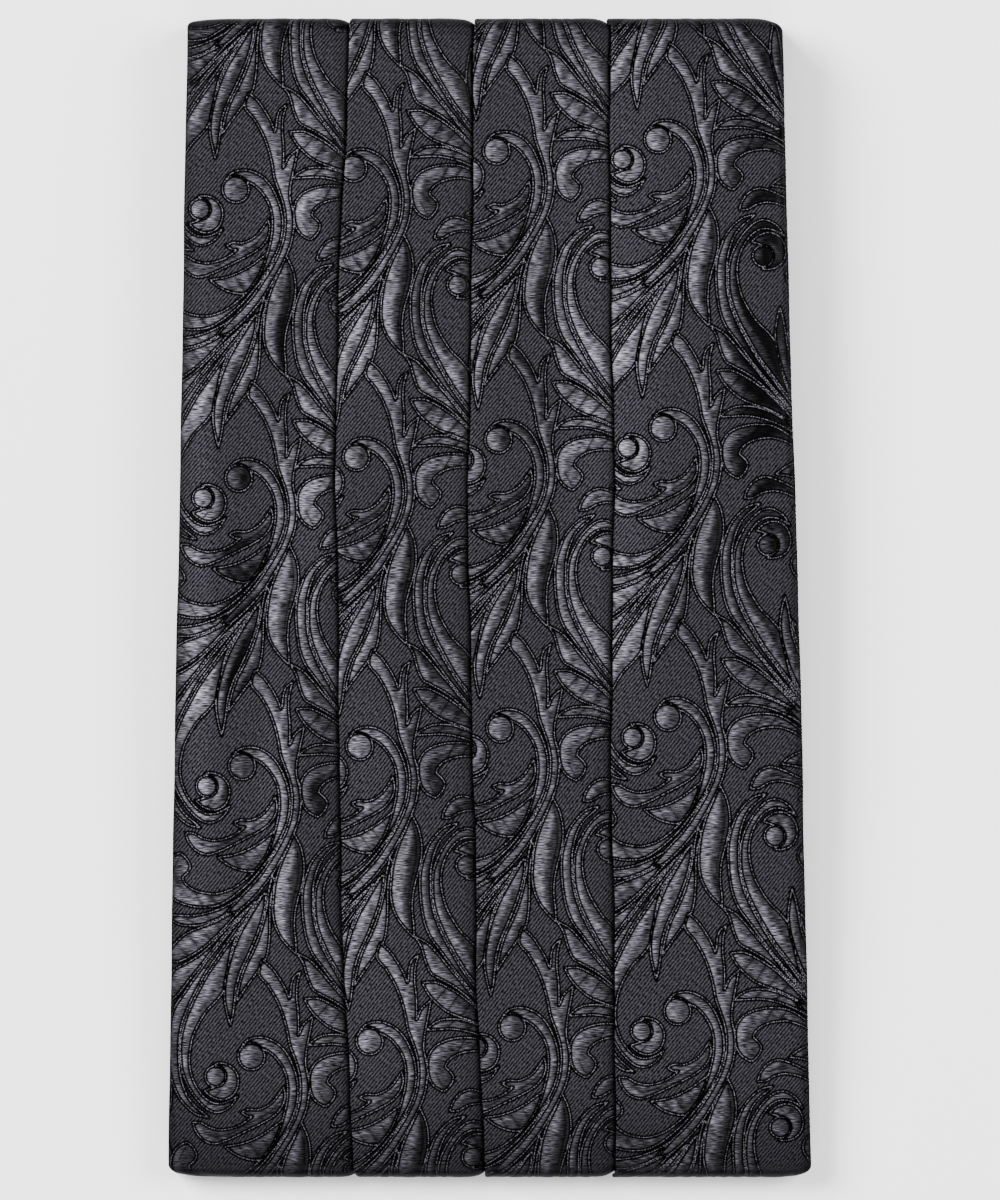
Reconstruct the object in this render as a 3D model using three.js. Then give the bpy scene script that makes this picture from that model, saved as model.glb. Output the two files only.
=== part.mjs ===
// A pleated cummerbund, folded in half across its centre front. Its two tapered ends are turned in
// between the halves, and the fastened strap lies folded there too. Millimetres, +Z up. It lies on
// Z = 0 with its origin below the middle of its box: X runs across the pleats, and Y runs from the
// centre front fold to the end folds.

import * as THREE from "three";

// Overall sizes of the folded sash
const FOLDED_LENGTH = 266;
const CENTRE_WIDTH = 147.4;
const TURNED_IN = 75;

// The pleated cloth from its inner face outwards: a wall, an open slot and the lip of the next pleat
const WALL = 1.0;
const SLOT = 0.35;
const LIP = 1.05;
const EDGE = 1.7;
const LIP_DEPTHS = [17, 15, 13];
const DIP = 1.4;
const PANEL = WALL + SLOT + LIP;

// The straps and the clasp between the halves
const CLEARANCE = 0.3;
const STRAP_WIDTH = 25;
const STRAP_THICKNESS = 1.2;
const SEAM_LENGTH = 12;
const STRAP_SLOPE = 34;
const LOOP_GAP = 0.4;
const LOOP_TAIL = 14;
const TAIL_SLOPE = 5;
const CLASP_LENGTH = 22;
const CLASP_THICKNESS = 1.0;
const CLASP_BAR = 3;
const CLASP_CORNER = 2;
const SLOT_PLAY = 1;

// How the layers are stacked. A corner's roundness is a share of the fold's own outer radius
const CENTRE_FOLD_RADIUS = 1.3;
const SEAM_PLAY = 0.4;
const LAYER_GAP = 0.7;
const CORNERS = { centreLeft: 0.68, centreRight: 0.57, endLeft: 0.29, endRight: 0.8 };
const FOLD_STEPS = 8;
const HALF_STEPS = 16;
const TURN_STEPS = 5;

// The sides and the fold lines of the pleats, as shares of CENTRE_WIDTH. They run from the centre front
// (along 0) to the end fold (along 1) and on through the turned-in end (along 2)
const PLEAT_ROWS = [
  { along: 0.0, left: -0.5, folds: [-0.213, -0.006, 0.197], right: 0.5 },
  { along: 0.15, left: -0.497, folds: [-0.224, -0.018, 0.194], right: 0.495 },
  { along: 0.35, left: -0.49, folds: [-0.233, -0.026, 0.191], right: 0.487 },
  { along: 0.6, left: -0.482, folds: [-0.238, -0.032, 0.193], right: 0.475 },
  { along: 0.8, left: -0.475, folds: [-0.232, -0.028, 0.19], right: 0.464 },
  { along: 1.0, left: -0.47, folds: [-0.218, -0.022, 0.188], right: 0.455 },
  { along: 1.25, left: -0.43, folds: [-0.2, -0.021, 0.17], right: 0.418 },
  { along: 1.6, left: -0.32, folds: [-0.15, -0.016, 0.124], right: 0.31 },
  { along: 2.0, left: -0.215, folds: [-0.1, -0.006, 0.088], right: 0.215 },
];

// Heights of the inner faces of the four layers, from the floor up. A strap's seam lies in each end fold
const endFoldRadius = (STRAP_THICKNESS + 2 * CLEARANCE + SEAM_PLAY) / 2;
const lowerInner = PANEL;
const lowerTurnInner = lowerInner + 2 * endFoldRadius;
const upperTurnInner = lowerTurnInner + 2 * PANEL + LAYER_GAP;
const upperInner = upperTurnInner + 2 * endFoldRadius;
const upperInnerAtCentre = lowerInner + 2 * CENTRE_FOLD_RADIUS;

// Places of the folds along Y
const halfLength = FOLDED_LENGTH / 2;
const centreFoldY = -halfLength + CENTRE_FOLD_RADIUS + PANEL;
const endFoldY = halfLength - endFoldRadius - PANEL;
const turnEndY = halfLength - TURNED_IN;

const cloth = new THREE.MeshStandardMaterial({ color: 0x39383d, roughness: 0.5, metalness: 0 });
const webbing = new THREE.MeshStandardMaterial({ color: 0x161618, roughness: 0.85, metalness: 0 });
const steel = new THREE.MeshStandardMaterial({ color: 0x1f1f22, roughness: 0.4, metalness: 0.8 });

// Height of the upper half's inner face, which rises from the centre fold up to the turned-in ends
function upperInnerAt(y) {
  const share = THREE.MathUtils.clamp((y - centreFoldY) / (turnEndY - centreFoldY), 0, 1);
  return THREE.MathUtils.lerp(upperInnerAtCentre, upperInner, Math.sin((share * Math.PI) / 2));
}

// The sides and fold lines at any place along a half, worked out between the rows of the table
function pleatsAt(along) {
  const next = PLEAT_ROWS.findIndex((row, i) => i > 0 && row.along >= along - 1e-9);
  const [a, b] = [PLEAT_ROWS[next - 1], PLEAT_ROWS[next]];
  const share = (along - a.along) / (b.along - a.along);
  const between = (p, q) => CENTRE_WIDTH * THREE.MathUtils.lerp(p, q, share);
  return {
    left: between(a.left, b.left),
    folds: a.folds.map((fold, i) => between(fold, b.folds[i])),
    right: between(a.right, b.right),
  };
}

// Points of a half circle from (x, low) to (x, high), bulging to the side given
function nose(x, low, high, side) {
  const radius = (high - low) / 2;
  const points = [];
  for (let i = 0; i <= 4; i++) {
    const angle = -Math.PI / 2 + (i * Math.PI) / 4;
    points.push([x + side * radius * Math.cos(angle), low + radius * (1 + Math.sin(angle))]);
  }
  return points;
}

// Two points of a pleat's face as it sinks from one height to another
function sinking(fromX, fromHeight, toX, toHeight) {
  return [0.35, 0.7].map((share) => [
    THREE.MathUtils.lerp(fromX, toX, share),
    THREE.MathUtils.lerp(fromHeight, toHeight, share * share),
  ]);
}

// The cloth's cross-section as a closed outline of [x, height] points. Each pleat starts with a
// rounded lip that lies over the pleat to its left, with an open slot below it
function panelSection(along) {
  const { left, folds, right } = pleatsAt(along);
  const narrowing = Math.min(1, (right - left) / CENTRE_WIDTH);
  const startX = left + EDGE / 2;
  const endX = right - EDGE / 2;
  const outline = [...nose(startX, 0, EDGE, -1)];
  let [topX, topHeight] = [startX, EDGE];
  for (const [i, fold] of folds.entries()) {
    const lipEnd = fold + LIP_DEPTHS[i] * narrowing;
    const dipX = fold - DIP * narrowing;
    outline.push(...sinking(topX, topHeight, dipX, WALL));
    outline.push([dipX, WALL], [lipEnd, WALL], [lipEnd, WALL + SLOT]);
    outline.push(...nose(fold + LIP / 2, WALL + SLOT, PANEL, -1), [lipEnd, PANEL]);
    [topX, topHeight] = [lipEnd, PANEL];
  }
  outline.push(...sinking(topX, topHeight, endX, EDGE), ...nose(endX, 0, EDGE, 1).reverse());
  return outline;
}

// The same outline drawn in at its left and right sides, which rounds the fold's corners seen from
// above. reach is how far out along the fold's own radius the outline stands, from 0 to 1
function drawnIn(outline, reach, outerRadius, leftCorner, rightCorner) {
  const pullAt = (corner) => {
    const past = Math.max(0, reach - (1 - corner)) / corner;
    return corner * outerRadius * (1 - Math.sqrt(Math.max(0, 1 - past * past)));
  };
  return outline.map(([x, height]) => {
    const pull = pullAt(x < 0 ? leftCorner : rightCorner);
    return [x * (1 - pull / (CENTRE_WIDTH / 2)), height];
  });
}

// Stations along the cloth's inner face, from the lower turned-in end to the upper one. Each has its
// place in the Y-Z plane, the outward direction there and the outline that it carries
function panelStations() {
  const stations = [];
  const [down, up] = [-Math.PI / 2, Math.PI / 2];
  const alongHalf = (y) => (y - centreFoldY) / (endFoldY - centreFoldY);
  const alongTurn = (y) => 1 + (endFoldY - y) / (endFoldY - turnEndY);
  const add = (y, z, angle, outline) => {
    stations.push({ y, z, outward: [Math.cos(angle), Math.sin(angle)], outline });
  };
  const straight = (fromY, toY, steps, heightAt, angle, alongAt) => {
    for (let i = 0; i <= steps; i++) {
      const y = THREE.MathUtils.lerp(fromY, toY, i / steps);
      add(y, heightAt(y), angle, panelSection(alongAt(y)));
    }
  };
  const turn = (y, z, radius, fromAngle, toAngle, along, leftCorner, rightCorner) => {
    for (let i = 1; i < FOLD_STEPS; i++) {
      const angle = THREE.MathUtils.lerp(fromAngle, toAngle, i / FOLD_STEPS);
      const reach = Math.abs(Math.cos(angle));
      const section = panelSection(along);
      const outline = drawnIn(section, reach, radius + PANEL, leftCorner, rightCorner);
      add(y + radius * Math.cos(angle), z + radius * Math.sin(angle), angle, outline);
    }
  };
  const endTurn = (z, fromAngle, toAngle) => {
    turn(endFoldY, z, endFoldRadius, fromAngle, toAngle, 1, CORNERS.endLeft, CORNERS.endRight);
  };

  straight(turnEndY, endFoldY, TURN_STEPS, () => lowerTurnInner, up, alongTurn);
  endTurn(lowerInner + endFoldRadius, up, down);
  straight(endFoldY, centreFoldY, HALF_STEPS, () => lowerInner, down, alongHalf);
  const centreZ = lowerInner + CENTRE_FOLD_RADIUS;
  const { centreLeft, centreRight } = CORNERS;
  turn(centreFoldY, centreZ, CENTRE_FOLD_RADIUS, down, down - Math.PI, 0, centreLeft, centreRight);
  straight(centreFoldY, endFoldY, HALF_STEPS, upperInnerAt, up, alongHalf);
  endTurn(upperInner - endFoldRadius, up, down);
  straight(endFoldY, turnEndY, TURN_STEPS, () => upperTurnInner, down, alongTurn);
  return stations;
}

// A closed solid through stations whose outlines all have the same number of points
function sweep(stations) {
  const positions = [];
  const faces = [];
  const count = stations[0].outline.length;
  for (const { y, z, outward, outline } of stations) {
    for (const [x, height] of outline) {
      positions.push(x, y + outward[0] * height, z + outward[1] * height);
    }
  }
  for (let s = 0; s + 1 < stations.length; s++) {
    for (let i = 0; i < count; i++) {
      const a = s * count + i;
      const b = s * count + ((i + 1) % count);
      faces.push(a, b, a + count, b, b + count, a + count);
    }
  }
  const last = (stations.length - 1) * count;
  const capOf = (station) => {
    const points = station.outline.map(([x, height]) => new THREE.Vector2(x, height));
    return THREE.ShapeUtils.triangulateShape(points, []);
  };
  for (const [a, b, c] of capOf(stations[0])) faces.push(a, b, c);
  for (const [a, b, c] of capOf(stations.at(-1))) faces.push(last + a, last + c, last + b);
  const geometry = new THREE.BufferGeometry();
  geometry.setAttribute("position", new THREE.Float32BufferAttribute(positions, 3));
  geometry.setIndex(faces);
  return geometry;
}

// Points of an arc in the Y-Z plane
function arc(y, z, radius, fromAngle, toAngle, steps) {
  const points = [];
  for (let i = 0; i <= steps; i++) {
    const angle = THREE.MathUtils.lerp(fromAngle, toAngle, i / steps);
    points.push([y + radius * Math.cos(angle), z + radius * Math.sin(angle)]);
  }
  return points;
}

// A flat strap with rounded edges along a path of [y, z] points
function strapAlong(path) {
  const [low, high] = [-STRAP_THICKNESS / 2, STRAP_THICKNESS / 2];
  const edge = (STRAP_WIDTH - STRAP_THICKNESS) / 2;
  const outline = [...nose(-edge, low, high, -1), ...nose(edge, low, high, 1).reverse()];
  const stations = path.map(([y, z], i) => {
    const [fromY, fromZ] = path[Math.max(0, i - 1)];
    const [toY, toZ] = path[Math.min(path.length - 1, i + 1)];
    const length = Math.hypot(toY - fromY, toZ - fromZ);
    return { y, z, outward: [-(toZ - fromZ) / length, (toY - fromY) / length], outline };
  });
  return sweep(stations);
}

// The clasp's slots take a strap's thickness, and its width with some play
const barInnerY = CLASP_LENGTH / 2 - CLASP_BAR;
const loopRadius = (CLASP_THICKNESS + STRAP_THICKNESS) / 2 + LOOP_GAP;
const loopInset = Math.sqrt((CLASP_THICKNESS / 2 + LOOP_GAP - CLEARANCE) ** 2 - (CLASP_THICKNESS / 2) ** 2);
const slotLength = loopRadius + STRAP_THICKNESS / 2 - loopInset + 2 * CLEARANCE;
const slotWidth = STRAP_WIDTH + 2 * SLOT_PLAY;
const claspWidth = slotWidth + 2 * CLASP_BAR;

// Middle heights of the straps' lower run, of the clasp and of a strap's tail above it
const lowerRun = lowerInner + CLEARANCE + STRAP_THICKNESS / 2;
const claspHeight = lowerRun + loopRadius;
const tailHeight = lowerRun + STRAP_THICKNESS + CLEARANCE;

// The long strap turns back with its upper run clear of the tails, as far on as it has room to
const turnRadius = loopRadius + (STRAP_THICKNESS + CLEARANCE) / 2;
const roomNeeded = lowerRun + 2 * turnRadius + STRAP_THICKNESS / 2 + 2 * CLEARANCE;
const riseShare = (roomNeeded - upperInnerAtCentre) / (upperInner - upperInnerAtCentre);
const riseAngle = Math.asin(THREE.MathUtils.clamp(riseShare, 0, 1));
const strapTurnY = THREE.MathUtils.lerp(centreFoldY, turnEndY, riseAngle / (Math.PI / 2));

// The loop of a strap round the clasp's bar on the side given, from below the bar to the tail's end
function claspLoop(side) {
  const below = -Math.PI / 2;
  const above = below - side * Math.PI;
  const loop = arc(side * (barInnerY + loopInset), claspHeight, loopRadius, below, above, 8);
  const overBar = [side * (CLASP_LENGTH / 2 + CLEARANCE), claspHeight + loopRadius];
  const sloped = [side * (CLASP_LENGTH / 2 + TAIL_SLOPE), tailHeight];
  return [...loop, overBar, sloped, [side * (CLASP_LENGTH / 2 + LOOP_TAIL), tailHeight]];
}

// From its seam below the lower turned-in end, along the lower half, to the clasp
function shortStrapPath() {
  const seamHeight = lowerTurnInner - CLEARANCE - STRAP_THICKNESS / 2;
  const seam = [[turnEndY + SEAM_LENGTH, seamHeight], [turnEndY - CLEARANCE, seamHeight]];
  return [...seam, [turnEndY - SEAM_LENGTH, lowerRun], ...claspLoop(1)];
}

// From its seam above the upper turned-in end, out below the upper half, round, and back to the clasp
function longStrapPath() {
  const seamHeight = upperTurnInner + CLEARANCE + STRAP_THICKNESS / 2;
  const seam = [[turnEndY + SEAM_LENGTH, seamHeight], [turnEndY - CLEARANCE, seamHeight]];
  const upperRun = lowerRun + 2 * turnRadius;
  const slope = [0.25, 0.5, 0.75, 1].map((share) => {
    const height = THREE.MathUtils.lerp(seamHeight, upperRun, THREE.MathUtils.smoothstep(share, 0, 1));
    return [turnEndY - CLEARANCE - share * STRAP_SLOPE, height];
  });
  const round = arc(strapTurnY, lowerRun + turnRadius, turnRadius, Math.PI / 2, 1.5 * Math.PI, 8);
  return [...seam, ...slope, ...round, ...claspLoop(-1)];
}

// A flat plate with a slot near each end, through which the straps are looped
function claspPlate() {
  const plate = new THREE.Shape();
  const [x, y] = [claspWidth / 2, CLASP_LENGTH / 2];
  plate.moveTo(-x + CLASP_CORNER, -y);
  plate.lineTo(x - CLASP_CORNER, -y);
  plate.quadraticCurveTo(x, -y, x, -y + CLASP_CORNER);
  plate.lineTo(x, y - CLASP_CORNER);
  plate.quadraticCurveTo(x, y, x - CLASP_CORNER, y);
  plate.lineTo(-x + CLASP_CORNER, y);
  plate.quadraticCurveTo(-x, y, -x, y - CLASP_CORNER);
  plate.lineTo(-x, -y + CLASP_CORNER);
  plate.quadraticCurveTo(-x, -y, -x + CLASP_CORNER, -y);
  for (const side of [-1, 1]) {
    const outer = side * barInnerY;
    const inner = side * (barInnerY - slotLength);
    const slot = new THREE.Path();
    slot.moveTo(-slotWidth / 2, inner);
    slot.lineTo(slotWidth / 2, inner);
    slot.lineTo(slotWidth / 2, outer);
    slot.lineTo(-slotWidth / 2, outer);
    slot.closePath();
    plate.holes.push(slot);
  }
  const options = { depth: CLASP_THICKNESS, bevelEnabled: false, curveSegments: 4 };
  const geometry = new THREE.ExtrudeGeometry(plate, options);
  return geometry.translate(0, 0, claspHeight - CLASP_THICKNESS / 2);
}

function named(name, geometry, material) {
  const mesh = new THREE.Mesh(geometry, material);
  mesh.name = name;
  return mesh;
}

const cummerbund = new THREE.Group();
cummerbund.add(named("pleated_sash", sweep(panelStations()), cloth));
cummerbund.add(named("short_strap", strapAlong(shortStrapPath()), webbing));
cummerbund.add(named("long_strap", strapAlong(longStrapPath()), webbing));
cummerbund.add(named("clasp", claspPlate(), steel));

export default cummerbund;
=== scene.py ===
# %% [markdown]
# A cummerbund is a pleated dress sash. This one lies folded in half at its centre front, with its tapered
# ends and its strap turned in between the halves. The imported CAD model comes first, as a frame that never
# moves: every piece made here takes its place and its sizes from it.

import bpy
import numpy as np
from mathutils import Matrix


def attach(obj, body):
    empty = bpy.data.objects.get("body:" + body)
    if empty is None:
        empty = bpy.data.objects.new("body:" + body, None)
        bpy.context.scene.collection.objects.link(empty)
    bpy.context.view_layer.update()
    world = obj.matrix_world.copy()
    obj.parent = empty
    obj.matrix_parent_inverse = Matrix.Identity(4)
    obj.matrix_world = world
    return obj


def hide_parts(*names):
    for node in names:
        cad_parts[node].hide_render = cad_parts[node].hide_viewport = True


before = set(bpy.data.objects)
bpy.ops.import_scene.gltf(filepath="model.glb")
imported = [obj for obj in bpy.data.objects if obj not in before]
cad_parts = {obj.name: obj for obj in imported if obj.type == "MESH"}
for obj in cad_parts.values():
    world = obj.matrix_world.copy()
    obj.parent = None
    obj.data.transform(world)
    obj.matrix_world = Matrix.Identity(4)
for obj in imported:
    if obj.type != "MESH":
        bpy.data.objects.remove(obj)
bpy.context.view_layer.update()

MM = 0.001

# %% [markdown]
# The sizes below are the CAD model's own, in millimetres. The cloth is one long panel that runs from the
# lower turned-in end, along the lower half, round the centre front, along the upper half and into the
# upper turned-in end. X runs across the pleats and Y along them, and the upper half faces the camera.

# %% Sizes of the cloth
FOLDED_LENGTH = 266.0
CENTRE_WIDTH = 147.4
TURNED_IN = 75.0
WALL = 1.0
SLOT = 0.35
LIP = 1.05
EDGE = 1.7
LIP_DEPTHS = (17.0, 15.0, 13.0)
PANEL = WALL + SLOT + LIP
CENTRE_FOLD_RADIUS = 1.3
END_FOLD_RADIUS = 1.1
LAYER_GAP = 0.7
CORNERS = {"centre": (0.68, 0.57), "end": (0.29, 0.8)}

lower_inner = PANEL
lower_turn_inner = lower_inner + 2 * END_FOLD_RADIUS
upper_turn_inner = lower_turn_inner + 2 * PANEL + LAYER_GAP
upper_inner = upper_turn_inner + 2 * END_FOLD_RADIUS
upper_inner_at_centre = lower_inner + 2 * CENTRE_FOLD_RADIUS

half_length = FOLDED_LENGTH / 2
centre_fold_y = -half_length + CENTRE_FOLD_RADIUS + PANEL
end_fold_y = half_length - END_FOLD_RADIUS - PANEL
turn_end_y = half_length - TURNED_IN
print("straight part of a half:", round(end_fold_y - centre_fold_y, 1), "mm")

# %% Sides and fold lines of the pleats
# Shares of CENTRE_WIDTH. Columns: place along a half, left side, three fold lines, right side
PLEAT_ROWS = np.array([
    (0.00, -0.500, -0.213, -0.006, 0.197, 0.500),
    (0.15, -0.497, -0.224, -0.018, 0.194, 0.495),
    (0.35, -0.490, -0.233, -0.026, 0.191, 0.487),
    (0.60, -0.482, -0.238, -0.032, 0.193, 0.475),
    (0.80, -0.475, -0.232, -0.028, 0.190, 0.464),
    (1.00, -0.470, -0.218, -0.022, 0.188, 0.455),
    (1.25, -0.430, -0.200, -0.021, 0.170, 0.418),
    (1.60, -0.320, -0.150, -0.016, 0.124, 0.310),
    (2.00, -0.215, -0.100, -0.006, 0.088, 0.215),
])
PLEATS = 4


def pleat_lines(along):
    """The five lines that bound the pleats, in mm from the middle: each column of the table, taken in
    straight stretches between its rows and multiplied by the width at the centre front."""
    columns = [np.interp(along, PLEAT_ROWS[:, 0], column) for column in PLEAT_ROWS[:, 1:].T]
    return CENTRE_WIDTH * np.array(columns)


print("pleats at the centre front:", np.diff(pleat_lines(0.0)).round(1), "mm wide")

# %% [markdown]
# The jacquard shows a traditional foliate scroll. It could be an image, but a chart drawn on squared paper,
# as weavers draw them, stays sharp at any size. One column of the scroll is charted below, back to front.
# A second column is the same one turned upside down and moved half a repeat to the right, and so on.

# %% The squares of the chart
SQUARE = 0.23
COLUMN_WIDTH = 138.5
REPEAT_WIDTH = 2 * COLUMN_WIDTH
REPEAT_HEIGHT = 287.5
TURNED_COLUMN_AT = 136.0
print("one repeat:", round(REPEAT_WIDTH * SQUARE, 1), "by", round(REPEAT_HEIGHT * SQUARE, 1), "mm")

# %% The motifs of one column: x to the right and y down, in squares from the middle of the ball
MOTIFS = {
    "upper hanging leaf": [
        (14, 112), (5, 121), (-8, 131), (-22, 139), (-38, 145), (-55, 148), (-70, 147.5), (-81, 147),
        (-77, 151.5), (-66, 157), (-50, 157.5), (-34, 153), (-20, 146), (-6, 137), (6, 127), (14, 118)],
    "barred leaf": [
        (16, 118), (6, 129), (-5, 139), (-20, 148), (-34, 155), (-48, 160), (-60, 165), (-70, 173),
        (-78, 182), (-84, 193), (-70, 193.5), (-56, 187), (-45, 180), (-34, 171), (-22, 159), (-10, 146),
        (2, 134), (14, 122)],
    "lobed leaf": [
        (6, 136), (-8, 149), (-20, 160), (-32, 172), (-43, 182.5), (-54, 190.5), (-66, 197), (-75, 202.5),
        (-80, 214), (-84, 229), (-91, 239), (-78, 232), (-68, 222), (-58, 209.5), (-47, 196.5),
        (-36, 182.5), (-24, 168), (-10, 153)],
    "outer volute stem": [
        (8, 134), (-4, 148), (-14, 160), (-24, 171.5), (-36, 186), (-47, 200), (-57, 213.5), (-66, 226),
        (-74, 237), (-79.5, 251), (-82, 266), (-83, 280), (-83, 292), (-81.5, 304), (-77.5, 317),
        (-72, 329), (-63, 339.5), (-54, 346), (-43, 348.5), (-48, 344), (-56, 337.5), (-63, 329),
        (-68, 318), (-71.5, 304), (-72.5, 288), (-72, 272), (-68, 254),
        (-61, 237), (-52, 220), (-42, 203), (-31, 188), (-20, 173), (-9, 158), (2, 145), (10, 134)],
    "inner volute stem": [
        (15, 128), (4, 145.5), (-7, 159.5), (-18, 174.5), (-29, 189.5), (-40, 204.5), (-50, 221.5),
        (-59, 238.5), (-66, 255.5), (-70, 272), (-70.5, 288), (-69.2, 301), (-66, 311), (-61.5, 320),
        (-55.5, 329), (-48, 337), (-41, 342), (-33.5, 343.5), (-26, 341), (-19, 335.5), (-13.5, 326.5),
        (-19, 330.5), (-27, 334), (-36, 334.5), (-44, 331), (-50.5, 324.5), (-56.5, 315), (-60.5, 304),
        (-62, 292), (-60.8, 280), (-57.5, 267),
        (-51, 254), (-43, 242), (-33, 232), (-25.5, 222), (-22, 210), (-19.5, 195), (-15.5, 179),
        (-8, 163), (2, 150), (12, 136)],
    "long pointed leaf": [
        (20, 124), (18, 140), (13.5, 156), (7, 172), (-0.5, 188), (-8, 203), (-13, 218), (-15, 232),
        (-17, 245), (-20, 257), (-23, 244), (-25, 230), (-24, 215), (-20.5, 200), (-15.5, 184),
        (-9, 169), (-1, 155), (8, 141), (17, 127)],
    "side pointed leaf": [
        (27, 108), (23, 122), (20.5, 138), (16.5, 154), (11, 170), (3.5, 186), (-4, 200), (-9, 214),
        (-12, 226), (-13, 233), (-6, 223), (3, 211), (12, 199), (18, 189), (21, 176), (22.5, 160),
        (23, 144), (25, 128), (29, 114)],
    "lens leaf": [
        (49.5, 66), (44.5, 78), (38.5, 90), (33.5, 102), (29.5, 115), (27, 130), (26, 145), (28, 158),
        (33, 169), (40, 178), (48, 186), (48, 174), (47, 160), (48, 146), (51, 133), (55, 120),
        (58, 107), (58.5, 94), (56, 80)],
    "small barred leaf": [
        (33, 62), (24, 69), (16, 75), (7, 80.5), (-4, 85.5), (-15, 88.5), (-27, 90), (-18, 97),
        (-7, 102), (5, 104), (14, 101), (22, 94), (30, 84), (36, 72)],
    "thorned crescent": [
        (32, 30), (33.5, 40), (30.5, 50), (23, 59), (12, 66), (0, 72), (-12, 78), (-25, 84), (-38, 87.5),
        (-49, 83), (-56, 74), (-58.5, 66), (-50, 66.5), (-42, 71), (-32, 73.5), (-22, 72.5), (-12, 69),
        (-4, 64), (1, 60), (-5, 59.5), (-10, 56), (-3, 53), (6, 53.5), (14, 50.5), (21, 45.5), (27, 38)],
    "forked sprig": [
        (10, -82), (19, -70), (27, -56), (33, -40), (36.5, -25), (38.5, -12), (42.5, 0), (46.5, 12),
        (48.8, 25), (48.8, 38), (47, 50), (43.5, 61), (38, 72.5), (31, 84.5), (23, 96.5), (15, 107.5),
        (6, 117.5), (-3, 126.5), (-12, 136), (-22, 147), (-8, 143), (3, 134), (13, 124), (21, 114.5),
        (28, 105), (34, 95), (40.5, 84), (46.5, 73), (51.5, 62), (55, 52), (57, 41), (57.5, 30),
        (56, 18), (54, 8), (54.5, -3), (57, -15), (60, -28), (62.5, -40), (53, -32), (49, -23.5),
        (47.3, -21), (48, -32), (48, -45), (47, -58), (48, -72), (51.5, -84), (45, -79), (42, -71),
        (41, -61), (39.5, -57), (36, -67), (30, -78), (23, -88), (14, -96)],
    "comma stem": [
        (-9, -11), (-3, -16.5), (6, -19), (16, -18), (26, -13), (34, -5), (40, 6), (44.3, 18),
        (46.3, 31), (45.8, 43), (43, 55), (38, 67), (31, 79), (23, 92), (14, 103.5), (5, 113.5),
        (-5, 122.5), (-16, 131), (-28, 137.5), (-40, 139.5), (-52, 139), (-64, 136), (-73, 131),
        (-79, 123), (-80.8, 114), (-80.3, 105), (-78.5, 97.5), (-74.5, 91.5), (-69.5, 88), (-64.5, 86),
        (-59.5, 90), (-55.8, 95.5), (-55, 101), (-58.5, 106), (-62.8, 110), (-60.8, 115.5),
        (-54.5, 121), (-46, 124.5), (-37, 126), (-28, 126), (-15, 122), (-4, 115), (6, 106.5), (14, 98),
        (20, 90),
        (25, 80), (29, 70), (32, 60), (34.5, 50), (36, 40), (36, 28), (33.5, 16), (28, 6), (21, -2),
        (13, -7), (4, -9)],
    "volute ring": [
        (-47, 34), (-41, 39.5), (-33, 43), (-25, 42.5), (-18, 38), (-14, 30.5), (-13.2, 22), (-16, 14.5),
        (-22, 9), (-30, 6.5), (-37, 7), (-32, 12), (-28.5, 19), (-29, 25), (-33, 29), (-40, 32)],
}
# Columns: x and y of the middle, radius
DISCS = [(-35.8, 19.8, 10.3), (0, 0, 13.2)]
VEINS = [
    [(49.5, 72), (52, 84), (53.5, 97), (52.3, 110), (49, 124), (45.3, 138), (43.3, 152), (43.6, 166),
     (45.5, 178)],
    [(29, 44), (20, 54), (8, 61.5), (-6, 68.5), (-20, 77), (-34, 80.5), (-46, 76)],
    [(-72, 175), (-61, 187)],
    [(-60, 165), (-48, 182)],
    [(-47, 160), (-35, 173)],
    [(-34, 155), (-24, 164)],
    [(-14, 88), (-4, 102)],
    [(-3, 85), (9, 103)],
    [(9, 79.5), (20, 96)],
    [(20, 72), (29, 85)],
    [(-52, 123), (-43, 139)],
    [(-38, 126), (-29, 137)],
    [(-60, 150), (-52, 157)],
    [(-42, 146), (-34, 153)],
    [(-72.5, 104), (-69.5, 98), (-66.5, 92), (-64.5, 89)],
    [(-31, 34), (-37, 41)],
]
print(len(MOTIFS), "motifs,", len(DISCS), "discs and", len(VEINS), "veins in one column")

# %% [markdown]
# The chart becomes a field of distances: at each place it says how far the nearest outline is, below zero
# inside a motif and above zero on the ground. Outlines, relief and sheen are all read from this one field,
# and a distance can be read between two vertices without losing the sharp line.

# %% Smooth outlines through the charted points
SPLINE_STEPS = 5
# A turn sharper than this, as the cosine below zero, is a tip
TIP_TURN = 0.2


def tangents(points):
    """The direction of a closed outline at each point: half the step from the point before to the one
    after, drawn in where neighbouring steps differ in length, and none at a sharp tip."""
    before = points - np.roll(points, 1, axis=0)
    after = np.roll(points, -1, axis=0) - points
    length_before = np.hypot(*before.T)
    length_after = np.hypot(*after.T)
    bend = (before * after).sum(axis=1) / (length_before * length_after)
    softness = np.clip((bend + TIP_TURN) / (1 - TIP_TURN), 0, 1)
    evenness = np.minimum(1, 2 * np.minimum(length_before, length_after) / (length_before + length_after))
    return 0.5 * (before + after) * (softness * evenness)[:, None]


def smooth_outline(points):
    """A closed curve through the points: cubic Hermite pieces, each with its ends' tangents."""
    start = np.array(points, float)
    leaving = tangents(start)
    end, arriving = np.roll(start, -1, axis=0), np.roll(leaving, -1, axis=0)
    t = np.arange(SPLINE_STEPS)[:, None, None] / SPLINE_STEPS
    curve = ((2 * t**3 - 3 * t**2 + 1) * start + (t**3 - 2 * t**2 + t) * leaving
             + (3 * t**2 - 2 * t**3) * end + (t**3 - t**2) * arriving)
    return curve.transpose(1, 0, 2).reshape(-1, 2)


outlines = [smooth_outline(points) for points in MOTIFS.values()]
print("outline points after smoothing:", sum(len(outline) for outline in outlines))

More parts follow.
